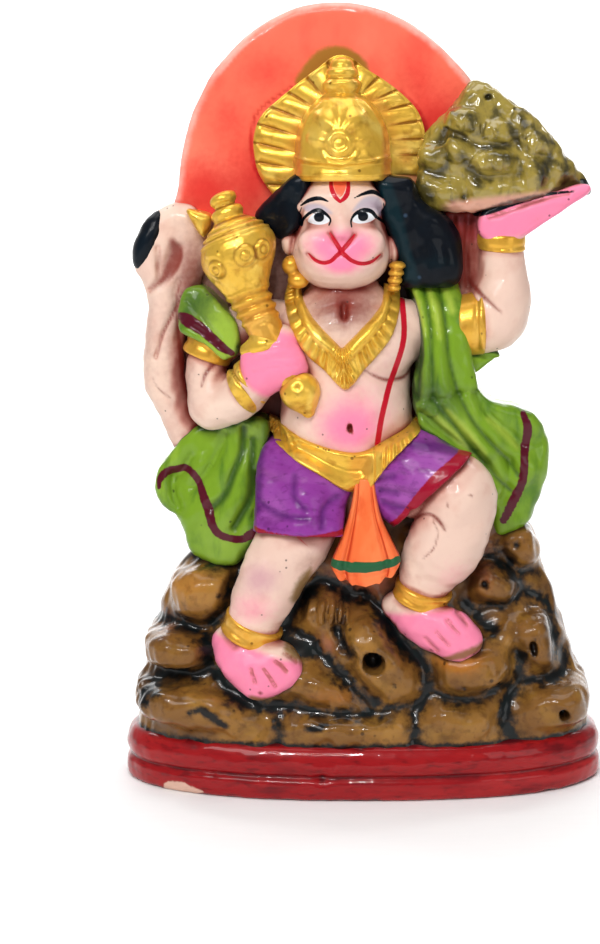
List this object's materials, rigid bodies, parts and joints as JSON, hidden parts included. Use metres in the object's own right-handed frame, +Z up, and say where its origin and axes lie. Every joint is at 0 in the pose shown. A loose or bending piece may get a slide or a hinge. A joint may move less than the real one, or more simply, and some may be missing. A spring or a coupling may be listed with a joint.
{
  "type": "painted clay idol figurine",
  "caption": "Painted and glazed clay idol of a seated monkey-headed deity with mace and raised hilltop, on rocks and an oval plinth, before a round halo.",
  "frame": {"origin": "middle of the plinth's flat underside", "axes": "+Z is up, -Y is the front that the figure faces, +X is to the viewer's right, on the side of the raised arm"},
  "size_m": [0.13, 0.058, 0.2054],
  "materials": {
    "glazed_clay": "hand painted under a clear gloss glaze",
    "red_plinth_paint": "glazed, brushed on",
    "rock_paint": "glazed, with near-black crevices",
    "flesh_paint": "glazed, with airbrushed pink",
    "coral_halo_paint": "glazed, with a paler rim",
    "gold_paint": "metallic gold paint",
    "green_shawl_paint": "glazed",
    "violet_shorts_paint": "glazed",
    "orange_sash_paint": "glazed",
    "black_hair_paint": "glazed"
  },
  "bodies": {
    "root": {"clay_figurine": "glazed_clay"}
  },
  "joints": []
}
